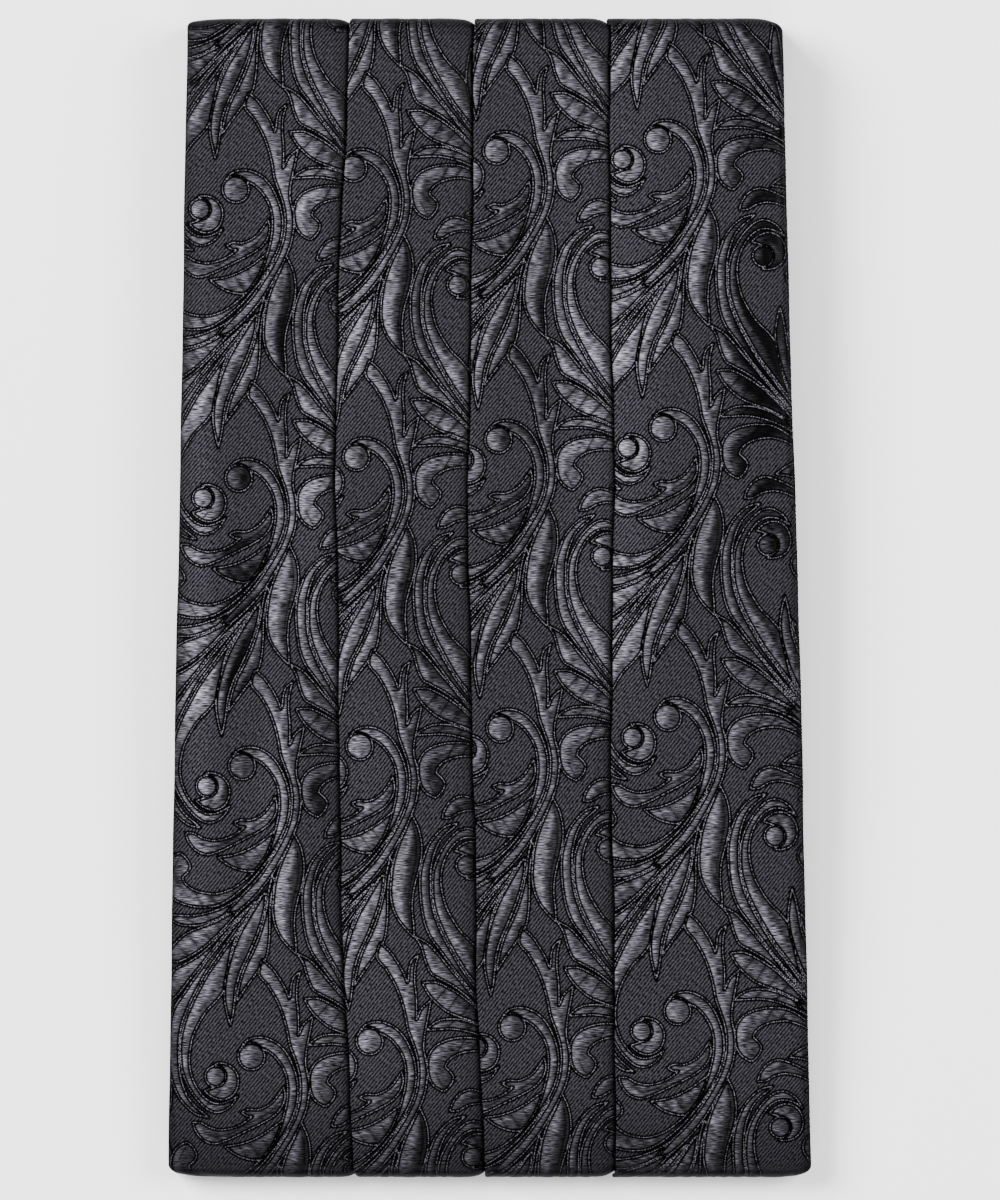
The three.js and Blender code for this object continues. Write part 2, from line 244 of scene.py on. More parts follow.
# %% Distance to a line, and which places lie inside a closed outline
def distance_to(x, y, line):
    """Distance to the nearest piece of the line: each place is set square onto the piece, held within
    the piece's ends, and the smallest of the distances is kept."""
    nearest = np.full(x.shape, np.inf)
    for (x0, y0), (x1, y1) in zip(line[:-1], line[1:]):
        dx, dy = x1 - x0, y1 - y0
        share = np.clip(((x - x0) * dx + (y - y0) * dy) / (dx * dx + dy * dy), 0, 1)
        nearest = np.minimum(nearest, (x - x0 - share * dx) ** 2 + (y - y0 - share * dy) ** 2)
    return np.sqrt(nearest)


def lies_inside(x, y, outline):
    """True where a level line to the right of the place crosses the outline an odd number of times."""
    inside = np.zeros(x.shape, bool)
    for (x0, y0), (x1, y1) in zip(outline, np.roll(outline, -1, axis=0)):
        if y0 != y1:
            crossing = x0 + (y - y0) * (x1 - x0) / (y1 - y0)
            inside ^= ((y0 > y) != (y1 > y)) & (x < crossing)
    return inside


def motif_distance(outline):
    """Signed distance to a closed outline: below zero inside it."""
    closed = np.vstack([outline, outline[:1]])
    return lambda x, y: np.where(lies_inside(x, y, outline), -1, 1) * distance_to(x, y, closed)


def disc_distance(middle_x, middle_y, radius):
    """Signed distance to a disc: the distance to its middle less its radius."""
    return lambda x, y: np.hypot(x - middle_x, y - middle_y) - radius


# %% Stamp the column, and the column turned upside down, into one repeat of the field
RASTER = 0.65
FAR = 40.0
# How far round an outline and round a vein the distance is worked out, in squares
MARGIN = 14
VEIN_MARGIN = 5
raster_columns = int(round(REPEAT_WIDTH / RASTER))
raster_rows = int(round(REPEAT_HEIGHT / RASTER))


def window(low, high, turned):
    """The part of the raster within a box of the column, as raster indices that wrap round the repeat,
    and the column's own x and y there. The turned column is COLUMN_WIDTH to the right, upside down."""
    shift = COLUMN_WIDTH if turned else 0
    top, bottom = (TURNED_COLUMN_AT - high[1], TURNED_COLUMN_AT - low[1]) if turned else (low[1], high[1])
    columns = np.arange(int((low[0] + shift) / RASTER) - 1, int((high[0] + shift) / RASTER) + 2)
    rows = np.arange(int(top / RASTER) - 1, int(bottom / RASTER) + 2)
    x, y = np.meshgrid((columns + 0.5) * REPEAT_WIDTH / raster_columns - shift,
                       (rows + 0.5) * REPEAT_HEIGHT / raster_rows)
    place = np.ix_(rows % raster_rows, columns % raster_columns)
    return place, x, TURNED_COLUMN_AT - y if turned else y


def chart_fields():
    """Two fields over one repeat, in squares. The first is the distance to the nearest outline, below zero
    inside a motif: a motif that lies in front replaces what is inside it and shortens the distance
    outside it. The second is the distance to the nearest vein that isn't covered."""
    edge = np.full((raster_rows, raster_columns), FAR)
    vein = np.full((raster_rows, raster_columns), FAR)
    shapes = [(outline.min(0), outline.max(0), motif_distance(outline)) for outline in outlines]
    for x, y, radius in DISCS:
        middle = np.array([x, y])
        shapes.append((middle - radius, middle + radius, disc_distance(x, y, radius)))
    for turned in (False, True):
        for low, high, distance in shapes:
            place, x, y = window(low - MARGIN, high + MARGIN, turned)
            new, old = distance(x, y), edge[place]
            nearer = np.where(np.abs(old) < new, old, np.where(old < 0, -new, new))
            edge[place] = np.where(new < 0, new, nearer)
    for turned in (False, True):
        for line in VEINS:
            points = np.array(line, float)
            place, x, y = window(points.min(0) - VEIN_MARGIN, points.max(0) + VEIN_MARGIN, turned)
            vein[place] = np.minimum(vein[place], distance_to(x, y, points))
    return edge, vein


edge_field, vein_field = chart_fields()
print("share of the repeat that is motif:", round(float((edge_field < 0).mean()), 2))

# %% Relief of the weave
RELIEF = 0.13
RELIEF_ROUNDING = 0.9
RELIEF_BLUR = 0.8
VEIN_DEPTH = 0.5
VEIN_HALF_WIDTH = 0.25
LEAN_BLUR = 2.5


def blurred(field, sigma):
    """The field averaged with a bell-shaped weight of that many raster steps, wrapping round."""
    reach = int(np.ceil(3 * sigma))
    steps = np.arange(-reach, reach + 1)
    weights = np.exp(-0.5 * (steps / sigma) ** 2)
    weights /= weights.sum()
    across = sum(w * np.roll(field, s, axis=1) for s, w in zip(steps, weights))
    return sum(w * np.roll(across, s, axis=0) for s, w in zip(steps, weights))


def relief_field():
    """Height in mm of the padded weave: nothing on an outline, rising to RELIEF with distance from it,
    as one less an exponential of the distance. Veins are half as deep."""
    from_edge = np.abs(edge_field) * SQUARE
    padded = RELIEF * (1 - np.exp(-from_edge / RELIEF_ROUNDING))
    creased = VEIN_DEPTH * RELIEF * np.exp(-(vein_field * SQUARE / VEIN_HALF_WIDTH) ** 2) * (edge_field < 0)
    return blurred(padded - creased, RELIEF_BLUR)


def lean_field():
    """How fast the padding of a motif rises from left to right: the slope across of the distance into the
    motif, which is held at MARGIN and blurred first."""
    depth = np.where(edge_field < 0, np.minimum(-edge_field, MARGIN) * SQUARE, 0)
    return np.gradient(blurred(depth, LEAN_BLUR), RASTER * SQUARE, axis=1)


relief = relief_field()
lean = lean_field()
print("relief from", relief.min().round(3), "to", relief.max().round(3), "mm")


# %% Read a field between its raster points
def read_field(field, across, down):
    """The field at places given in squares, worked out between the four raster points round each, with
    the repeat wrapping round."""
    column = (across / REPEAT_WIDTH) * raster_columns - 0.5
    row = (down / REPEAT_HEIGHT) * raster_rows - 0.5
    left, top = np.floor(column).astype(int), np.floor(row).astype(int)
    right_share, low_share = column - left, row - top
    near, far = left % raster_columns, (left + 1) % raster_columns
    upper, lower = top % raster_rows, (top + 1) % raster_rows
    high_side = field[upper, near] * (1 - right_share) + field[upper, far] * right_share
    low_side = field[lower, near] * (1 - right_share) + field[lower, far] * right_share
    return high_side * (1 - low_share) + low_side * low_share


# %% [markdown]
# The scroll runs on across the whole cloth, but each pleat hides a strip of it, so each visible strip starts
# at another place of the chart. The table says where a ball of the scroll sits on each pleat, measured on
# the folded sash. Between its rows the chart is stretched a little, as the real cloth is.

# %% Where the balls of the scroll lie on each pleat, in mm
BALLS = [
    np.array([(-57.4, 27.7), (-56.7, -38.3), (-54.6, -105.0)]),
    np.array([(-30.5, 32.5), (-29.8, -33.7), (-27.5, -101.5)]),
    np.array([(2.0, 36.5), (2.4, -29.6), (5.2, -98.3)]),
    np.array([(38.5, 105.2), (39.7, 39.2), (40.8, -27.0), (43.1, -94.6)]),
]


# Repeats that the chart is carried on past the outermost balls, at both ends
REPEATS_BEYOND = 7


def chart_place(pleat, x, y, unrolled_y):
    """Squares across and down the chart. Down: the balls' places along the pleat count whole repeats, and
    the way between them is shared evenly. Across: x less the ball's own x at that y."""
    balls = BALLS[pleat]
    repeat = REPEAT_HEIGHT * SQUARE
    more = np.arange(1, REPEATS_BEYOND + 1) * repeat
    ys = np.concatenate([balls[0, 1] + more[::-1], balls[:, 1], balls[-1, 1] - more])
    counts = np.arange(len(ys)) - len(more)
    down = np.interp(-unrolled_y, -ys, counts) * REPEAT_HEIGHT
    lean_per_mm = (balls[1, 0] - balls[0, 0]) / (balls[0, 1] - balls[1, 1])
    ball_x = np.interp(-y, -balls[:, 1], balls[:, 0])
    ball_x = ball_x - lean_per_mm * np.maximum(0, y - balls[0, 1])
    return (x - ball_x) / SQUARE, down


print("repeats between balls:", [np.diff(balls[:, 1]).round(1).tolist() for balls in BALLS])

# %% [markdown]
# Satin lives from its shine: its long threads run across the cloth, so a place that leans to the left, to
# the window, is bright, and one that leans away goes black; here that sheen is painted into the colour. The
# pleats aren't quite flat. Low swells run along them, and a short table is enough for those, because one
# formula gives both their height and painted shine.

# %% Low swells of the cloth
# Columns: x, y, half width and half length in mm, height in mm
SWELLS = np.array([
    (-62.5, 0.0, 4.5, 50.0, 0.42),
    (-34.0, 20.0, 6.0, 22.0, 0.40),
    (-45.0, -45.0, 5.5, 22.0, 0.35),
    (-68.0, 108.0, 9.0, 12.0, 0.35),
    (-52.0, 60.0, 5.0, 16.0, 0.25),
    (-21.0, -20.0, 8.0, 75.0, 0.35),
    (-22.0, 62.0, 7.0, 16.0, 0.30),
    (-36.0, 92.0, 8.0, 12.0, 0.45),
    (0.0, 45.0, 8.0, 32.0, 0.50),
    (-6.0, -88.0, 8.0, 12.0, 0.35),
    (40.0, 60.0, 12.0, 42.0, 0.90),
    (57.0, 58.0, 7.0, 42.0, 0.55),
    (38.0, 4.0, 8.0, 20.0, 0.35),
])


def swells(x, y):
    """Height of the swells, each a bell in x and in y, and how fast they rise in x: each bell times the
    distance back to its middle, over its half width squared."""
    total = np.zeros(np.broadcast(x, y).shape)
    slope = np.zeros(total.shape)
    for middle_x, middle_y, half_width, half_length, height in SWELLS:
        bell = height * np.exp(-0.5 * ((x - middle_x) / half_width) ** 2
                               - 0.5 * ((y - middle_y) / half_length) ** 2)
        total += bell
        slope += bell * (middle_x - x) / half_width**2
    return total, slope


every_mm = np.meshgrid(np.arange(-74, 74.0), np.arange(-133, 133.0))
steepest = np.abs(swells(*every_mm)[1]).max()
print("steepest swell leans", round(float(steepest), 3), "mm in each mm")

# %% [markdown]
# Seen from the side, the cloth follows a path of straight stretches and half circles. Each station on that
# path has a place, an outward direction and its place along the sash, and the cloth's cross-section is
# carried along it. The upper half gets fine steps because the camera sees it, and the rest wider ones.

# %% Stations along the cloth, seen from the side
UP, DOWN = np.pi / 2, -np.pi / 2
FINE_STEP = 0.38
COARSE_STEP = 0.9
END_STEP = 3.0


def upper_inner_at(y):
    """Height of the upper half's inner face: it rises as a quarter sine from the centre fold to the
    place where the turned-in ends stop, and then stays level."""
    share = np.clip((y - centre_fold_y) / (turn_end_y - centre_fold_y), 0, 1)
    return upper_inner_at_centre + (upper_inner - upper_inner_at_centre) * np.sin(share * np.pi / 2)


def stations(y, z, angle, along, corner=None, radius=0.0):
    """One stretch of the path as columns: y, z, outward direction in y and z, place along the sash, reach
    round a fold, and the fold's outer radius and corner shares."""
    y, z, angle, along = np.broadcast_arrays(y, z, angle, along)
    reach = np.abs(np.cos(angle)) if corner else np.zeros(y.shape)
    left, right = CORNERS[corner] if corner else (1.0, 1.0)
    rest = [np.full(y.shape, value) for value in (radius + PANEL, left, right)]
    return np.stack([y, z, np.cos(angle), np.sin(angle), along, reach, *rest], axis=1)


def straight(from_y, to_y, step, height_at, angle, along_at):
    """Stations at even steps along a level or rising stretch."""
    y = np.linspace(from_y, to_y, int(np.ceil(abs(to_y - from_y) / step)) + 1)
    return stations(y, height_at(y), angle, along_at(y))


def turn(y, z, radius, from_angle, to_angle, count, along, corner):
    """Stations round a fold: a circle of the given radius about a middle point."""
    angle = np.linspace(from_angle, to_angle, count + 1)[1:-1]
    return stations(y + radius * np.cos(angle), z + radius * np.sin(angle), angle, along, corner, radius)


def along_half(y):
    """Place along a half: 0 at the centre fold and 1 at the end fold."""
    return (y - centre_fold_y) / (end_fold_y - centre_fold_y)


def along_turned(y):
    """Place along a turned-in end: 1 at the end fold and 2 at its end."""
    return 1 + (end_fold_y - y) / (end_fold_y - turn_end_y)


upper_path = np.vstack([
    stations(np.array([centre_fold_y]), lower_inner, DOWN, 0.0),
    turn(centre_fold_y, lower_inner + CENTRE_FOLD_RADIUS, CENTRE_FOLD_RADIUS, DOWN, DOWN - np.pi, 26,
         0.0, "centre"),
    straight(centre_fold_y, end_fold_y, FINE_STEP, upper_inner_at, UP, along_half),
    turn(end_fold_y, upper_inner - END_FOLD_RADIUS, END_FOLD_RADIUS, UP, DOWN, 20, 1.0, "end"),
    straight(end_fold_y, turn_end_y, END_STEP, lambda y: upper_turn_inner + 0 * y, DOWN, along_turned),
])
lower_path = np.vstack([
    straight(turn_end_y, end_fold_y, END_STEP, lambda y: lower_turn_inner + 0 * y, UP, along_turned),
    turn(end_fold_y, lower_inner + END_FOLD_RADIUS, END_FOLD_RADIUS, UP, DOWN, 16, 1.0, "end"),
    straight(end_fold_y, centre_fold_y, COARSE_STEP, lambda y: lower_inner + 0 * y, DOWN, along_half),
])
print("stations:", len(upper_path), "above and", len(lower_path), "below")


def unrolled(path, start):
    """Length along the outer face from the first station on, taken off a starting value, so that on the
    upper half it equals y."""
    outer = path[:, :2] + PANEL * path[:, 2:4]
    steps = np.hypot(*np.diff(outer, axis=0).T)
    return start + np.concatenate([[0], np.cumsum(steps)])


lower_start = centre_fold_y - np.pi * (CENTRE_FOLD_RADIUS + PANEL)
upper_unrolled = unrolled(upper_path, lower_start)
lower_length = unrolled(lower_path, 0.0)
lower_unrolled = lower_length - lower_length[-1] + lower_start
paths = {"upper": (upper_path, upper_unrolled), "lower": (lower_path, lower_unrolled)}
print("outer face:", round(upper_unrolled[-1] - lower_unrolled[0], 1), "mm from end to end")

# %% [markdown]
# Across the sash the cloth steps up at each pleat: a rounded lip lies over the pleat to its left, with an
# open slot below it. Each pleat is made as one closed strip, so it is solid cloth from every side, and
# its columns are dense on the face that shows and sparse inside.

# %% Cross-section of one pleat
FACE_STEP = {"upper": 0.38, "lower": 0.8}
NOSE_STEPS = 10
HIDDEN_STEPS = 4
TUCK = 1.2
SINK_LENGTH = 14.0
SINK_POWER = 4.0
END_SINK_POWER = 9.0
RISE_LENGTH = 4.0
INNER_STEPS = 6
# The face goes from shown to hidden over the last 1 / SHOWN_FADE of its width
SHOWN_FADE = 25
# Columns: height of one wave and its wavelength over two pi, both in mm, and its phase from line to line
WAVES = [(0.22, 19, 2.1), (0.14, 8.3, 1.3), (0.07, 3.7, 4.7)]
OUTER_WAVER = 0.4


def wander(y, number):
    """A slight waver of a pleat's fold or side, in mm: three sines of different lengths, with phases
    that differ from line to line. The two outer sides waver less."""
    waver = sum(height * np.sin(y / length + phase * number) for height, length, phase in WAVES)
    return waver * (OUTER_WAVER if number in (0, PLEATS) else 1.0)


def between(start, end, shares):
    """Rows of evenly shared values from start to end, one row for each station."""
    return start[:, None] + (end - start)[:, None] * shares[None, :]


def half_round(edge, low, high, side, steps):
    """Half a circle from low to high that bulges to the side and touches the line at edge."""
    angle = np.linspace(-np.pi / 2, np.pi / 2, steps)
    radius = (high - low) / 2
    x = edge[:, None] - side * radius + side * radius * np.cos(angle)[None, :]
    return x, np.broadcast_to(low + radius * (1 + np.sin(angle)), x.shape)


def pleat_section(pleat, path, face_step):
    """Outline of one pleat at each station, as arrays of x, height and how far each column is shown. The
    face is level and then sinks with a power of the way to the next fold, sooner than that where the cloth
    turns round. The first pleat rises from its thin side by an exponential, and a half circle rounds each
    fold."""
    y, along = path[:, 0], path[:, 4]
    lines = pleat_lines(along)
    narrowing = np.minimum(1, (lines[4] - lines[0]) / CENTRE_WIDTH)
    steady = np.clip(2 - along, 0, 1)
    left = lines[pleat] + steady * wander(y, pleat)
    right = lines[pleat + 1] + steady * wander(y, pleat + 1)
    first, last = pleat == 0, pleat == PLEATS - 1
    parts = []

    def add_part(x, height, shown):
        """Keep some columns, with one height or one share shown spread over all of them where needed."""
        parts.append((x, np.broadcast_to(height, x.shape), np.broadcast_to(shown, x.shape)))

    inner_left = left + (EDGE / 2 if first else LIP_DEPTHS[pleat - 1] * narrowing)
    hidden = np.arange(HIDDEN_STEPS) / HIDDEN_STEPS
    if first:
        x, height = half_round(left, 0.0, EDGE, -1, NOSE_STEPS)
        top_x = left + EDGE / 2
    else:
        add_part(between(inner_left, left + LIP / 2, hidden), WALL + SLOT, 0.0)
        x, height = half_round(left, WALL + SLOT, PANEL, -1, NOSE_STEPS)
        top_x = left + LIP / 2
    add_part(x, height, np.linspace(0, 1, NOSE_STEPS))

    end_x = right + (-EDGE / 2 if last else TUCK * narrowing)
    bottom = EDGE if last else WALL
    count = int(np.ceil((CENTRE_WIDTH / PLEATS) / face_step))
    share = np.arange(1, count) / count
    x = between(top_x, end_x, share)
    sunk_at = np.minimum(right, end_x)[:, None]
    way = np.clip(1 - (sunk_at - x) / (SINK_LENGTH * narrowing[:, None]), 0, 1)
    sunk = way ** (SINK_POWER + (END_SINK_POWER - SINK_POWER) * path[:, 5:6])
    height = PANEL + (bottom - PANEL) * sunk
    if first:
        height = height - (PANEL - EDGE) * np.exp(-(x - top_x[:, None]) / RISE_LENGTH)
    add_part(x, height, np.minimum(1, SHOWN_FADE * (1 - share)))

    if last:
        x, height = half_round(right, 0.0, EDGE, 1, NOSE_STEPS)
        add_part(x[:, ::-1], height[:, ::-1], np.linspace(1, 0, NOSE_STEPS))
        inner_right = right - EDGE / 2
    else:
        inner_right = right + LIP_DEPTHS[pleat] * narrowing
        add_part(between(end_x, inner_right, np.append(hidden, 1.0)), WALL, 0.0)
    inner = np.arange(INNER_STEPS + 1) / INNER_STEPS
    # A half circle already has the corner point at an outer side, so it isn't made twice
    inner = inner[int(last):len(inner) - int(first)]
    add_part(between(inner_right, inner_left, inner), 0.0, 0.0)
    return [np.concatenate([part[i] for part in parts], axis=1) for i in range(3)]


def drawn_in(x, path):
    """X drawn towards the middle near the tip of a fold, so that the corners are round from above: past
    the corner's share of the reach, the pull follows a quarter circle."""
    reach, radius = path[:, 5:6], path[:, 6:7]
    pulls = []
    for corner in (path[:, 7:8], path[:, 8:9]):
        past = np.clip((reach - (1 - corner)) / corner, 0, 1)
        pulls.append(corner * radius * (1 - np.sqrt(1 - past**2)))
    pull = np.where(x < 0, pulls[0], pulls[1])
    return x * (1 - pull / (CENTRE_WIDTH / 2))


sample = pleat_section(1, upper_path, FACE_STEP["upper"])
print("columns round one upper pleat:", sample[0].shape[1])

# %% [markdown]
# A grid of points becomes a mesh of four-sided faces. The vertex data goes in as whole arrays, which is far
# quicker than a loop in Python. The strip is closed round its section and has a flat face at each end.

# %% Put a closed grid into a mesh
def tube_mesh(name, points):
    """Mesh from points[station, column]: faces join each column to the next and each station to the next,
    the last column joins the first, and one flat face closes each end. The faces point outwards."""
    rows, columns = points.shape[:2]
    here = np.arange(rows * columns).reshape(rows, columns)
    beside = np.roll(here, -1, axis=1)
    quads = np.stack([here[:-1], beside[:-1], beside[1:], here[1:]], axis=-1).reshape(-1, 4)
    a, b, c, d = (points.reshape(-1, 3)[quads[:, i]] for i in range(4))
    volume = (np.cross(c - a, d - b) * (a + b + c + d)).sum()
    caps = [here[0][::-1], here[-1]]
    if volume < 0:
        quads = quads[:, ::-1]
        caps = [cap[::-1] for cap in caps]
    loops = np.concatenate([quads.ravel(), *caps])
    starts = np.concatenate([np.arange(len(quads)) * 4, [len(quads) * 4, len(quads) * 4 + columns]])
    mesh = bpy.data.meshes.new(name)
    mesh.vertices.add(rows * columns)
    mesh.vertices.foreach_set("co", points.astype(np.float32).ravel())
    mesh.loops.add(len(loops))
    mesh.loops.foreach_set("vertex_index", loops.astype(np.int32))
    mesh.polygons.add(len(starts))
    mesh.polygons.foreach_set("loop_start", starts.astype(np.int32))
    mesh.update(calc_edges=True)
    smooth = np.ones(len(starts), bool)
    smooth[-2:] = False
    mesh.polygons.foreach_set("use_smooth", smooth)
    unfold(mesh, rows, columns, len(quads))
    return mesh


# Share of the flat map that the strip takes, and place, radius and spacing of its two end faces
MAP_SHARE = 0.97
CAP_CORNER = 0.985
CAP_RADIUS = 0.005
CAP_SPACING = 0.02


def unfold(mesh, rows, columns, quad_count):
    """A flat map for baked colours: the column and the station are its two directions, and both end faces
    lie in one corner of it. A face across the seam gets the column after the last."""
    index = np.empty(len(mesh.loops), np.int32)
    mesh.loops.foreach_get("vertex_index", index)
    station, column = np.divmod(index, columns)
    wide = column[:quad_count * 4].reshape(-1, 4)
    across_seam = wide.max(axis=1) - wide.min(axis=1) > columns // 2
    wide[across_seam] = np.where(wide[across_seam] == 0, columns, wide[across_seam])
    uv = np.empty((len(index), 2))
    uv[:, 0] = np.concatenate([wide.ravel(), column[quad_count * 4:]]) / columns * MAP_SHARE
    uv[:, 1] = station / (rows - 1) * MAP_SHARE
    ends = column[quad_count * 4:] / columns * 2 * np.pi
    corner = CAP_CORNER + CAP_RADIUS * np.stack([np.cos(ends), np.sin(ends)], axis=1)
    corner[columns:, 1] -= CAP_SPACING
    uv[quad_count * 4:] = corner
    layer = mesh.uv_layers.new(name="OFBake")
    layer.data.foreach_set("uv", uv.astype(np.float32).ravel())


def write_value(mesh, name, values):
    """Store one number for each vertex under a name that the material reads."""
    attribute = mesh.attributes.new(name, "FLOAT", "POINT")
    attribute.data.foreach_set("value", np.ascontiguousarray(values, np.float32).ravel())


def write_vector(mesh, name, values):
    """Store three numbers for each vertex under a name that the material reads."""
    attribute = mesh.attributes.new(name, "FLOAT_VECTOR", "POINT")
    attribute.data.foreach_set("vector", np.ascontiguousarray(values, np.float32).ravel())


def add_piece(name, mesh, node, material):
    """Show a mesh as a piece of the sash: it rides on the one body, takes the material it is given and
    stands for a node of the CAD model."""
    piece = bpy.data.objects.new(name, mesh)
    bpy.context.scene.collection.objects.link(piece)
    mesh.materials.append(material)
    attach(piece, "root")
    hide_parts(node)
    return piece


# %% [markdown]
# Each material is named for what the real one is. Colours are written as sRGB hex values and turned to the
# linear values that Blender shades with. One small function adds a node with its settings and links.

# %% Colour and node helpers
def linear(code):
    """Linear RGBA from an sRGB hex value: below 0.04045 the value over 12.92, otherwise the value plus
    0.055, over 1.055, to the power 2.4."""
    values = [int(code[i:i + 2], 16) / 255 for i in (1, 3, 5)]
    return [v / 12.92 if v <= 0.04045 else ((v + 0.055) / 1.055) ** 2.4 for v in values] + [1.0]


def add_node(tree, kind, inputs, output=0, **settings):
    """Add a node, set its properties, and give each of its inputs a number, a colour or another node's
    output. It hands back one output of the new node, so that one call can stand inside another."""
    node = tree.nodes.new(kind)
    for key, value in settings.items():
        setattr(node, key, value)
    for key, value in inputs.items():
        if isinstance(value, bpy.types.NodeSocket):
            tree.links.new(value, node.inputs[key])
        else:
            node.inputs[key].default_value = value
    return node.outputs[output]


# Kinds of node that are used more than once
MATH = "ShaderNodeMath"
MIX = "ShaderNodeMix"
NOISE = "ShaderNodeTexNoise"
RANGE = "ShaderNodeMapRange"
MAPPING = "ShaderNodeMapping"
ATTRIBUTE = "ShaderNodeAttribute"
BUMP = "ShaderNodeBump"
# Sockets of a mix node that hold colours: its two inputs and its output
MIX_FIRST, MIX_SECOND, MIXED = 6, 7, 2


def new_material(name):
    """A new material, its node tree and the inputs of its shader."""
    material = bpy.data.materials.new(name)
    material.use_nodes = True
    tree = material.node_tree
    shader = next(node for node in tree.nodes if node.type == "BSDF_PRINCIPLED")
    return material, tree, shader.inputs


# %% [markdown]
# The motifs are weft satin: short level threads lie side by side and shine, or go black where the cloth
# leans away, and that shine is painted into the colour. Two stretched noises give the threads and some slow
# unevenness of the painted shine. Both multiply the shine, so a dark leaf stays dark. The bars across a leaf
# are thin creases drawn as dark lines, and a painted shade dims the satin towards them.

# %% Satin of the motifs
THREAD_LENGTH = 1.8
THREAD_WIDTH = 0.17
THREAD_CONTRAST = 5.2
PATCH_SIZE = 3.0
PATCH_CONTRAST = 1.0
SATIN_POWER = 1.7
CREASE = (0.05, 0.24)
CREASE_DEPTH = 0.85


def satin_colour(tree, flat, shine, vein):
    """Colour of the satin: the shine times one plus each noise's distance from its middle, to a power."""
    size = (1 / THREAD_LENGTH, 1 / THREAD_WIDTH, 1)
    place = add_node(tree, MAPPING, {"Vector": flat, "Scale": size})
    threads = add_node(tree, NOISE, {"Vector": place, "Scale": 1.0, "Detail": 1.0})
    patches = add_node(tree, NOISE, {"Vector": flat, "Scale": 1 / PATCH_SIZE, "Detail": 1.0})
    lit = shine
    for noise, contrast in ((threads, THREAD_CONTRAST), (patches, PATCH_CONTRAST)):
        factor = add_node(tree, MATH, {0: noise, 1: contrast, 2: 1 - contrast / 2}, operation="MULTIPLY_ADD")
        lit = add_node(tree, MATH, {0: lit, 1: factor}, operation="MULTIPLY", use_clamp=True)
    lit = add_node(tree, MATH, {0: lit, 1: SATIN_POWER}, operation="POWER")
    satin = add_node(tree, MIX, {0: lit, MIX_FIRST: linear("#020202"), MIX_SECOND: linear("#b9b4c3")}, MIXED,
                     data_type="RGBA")
    creased = add_node(tree, RANGE, {"Value": vein, "From Min": CREASE[0], "From Max": CREASE[1],
                                     "To Min": CREASE_DEPTH, "To Max": 0.0})
    satin = add_node(tree, MIX, {0: creased, MIX_FIRST: satin, MIX_SECOND: linear("#020203")}, MIXED,
                     data_type="RGBA")
    return satin, lit


# %% [markdown]
# The ground is a charcoal twill: each thread passes over several others and starts one thread further on in
# the next row, which draws fine steep lines. A sine across the lines gives the ribs, and a noise stretched
# along them breaks the ribs into separate stitches.

# %% Twill of the ground
TWILL_SPACING = 0.66
TWILL_ANGLE = np.radians(40)
STITCH_SIZE = (0.26, 0.75)
RIB_CONTRAST = 0.42
STITCH_CONTRAST = 2.4
RIB_MIDDLE = 0.40


def twill_colour(tree, flat, shade):
    """Colour of the ground: a sine across the lines plus the noise, dimmed by the shade."""
    turned = add_node(tree, MAPPING, {"Vector": flat, "Rotation": (0, 0, TWILL_ANGLE)})
    across = add_node(tree, "ShaderNodeSeparateXYZ", {"Vector": turned}, "X")
    angle = add_node(tree, MATH, {0: across, 1: 2 * np.pi / TWILL_SPACING}, operation="MULTIPLY")
    ribs = add_node(tree, MATH, {0: angle}, operation="SINE")
    size = (1 / STITCH_SIZE[0], 1 / STITCH_SIZE[1], 1)
    place = add_node(tree, MAPPING, {"Vector": turned, "Scale": size})
    stitches = add_node(tree, NOISE, {"Vector": place, "Scale": 1.0, "Detail": 1.0})
    level = add_node(tree, MATH, {0: ribs, 1: RIB_CONTRAST, 2: RIB_MIDDLE - STITCH_CONTRAST / 2},
                     operation="MULTIPLY_ADD")
    level = add_node(tree, MATH, {0: stitches, 1: STITCH_CONTRAST, 2: level}, operation="MULTIPLY_ADD",
                     use_clamp=True)
    level = add_node(tree, MATH, {0: level, 1: shade}, operation="MULTIPLY")
    return add_node(tree, MIX, {0: level, MIX_FIRST: linear("#040405"), MIX_SECOND: linear("#3b393f")}, MIXED,
                    data_type="RGBA")


# %% [markdown]
# Every motif is traced by two near-black lines with a pale thread between them. The near-black lines are
# woven, and drawn wide enough to hold a painted shade in the groove along each outline. The thread dives in
# and out of the cloth, so it shows as a row of small dots. All three lines are read from the field of
# distances.

# %% Traced lines
# The near-black band out to LINE_REACH is a woven outline, drawn wide enough to hold a painted shade in the
# groove along each outline.
LINE_REACH = (0.38, 0.62)
DOT_REACH = (0.03, 0.13)
DOT_SIZE = 0.33
DOT_CONTRAST = 5.0
DOT_MIDDLE = 0.3


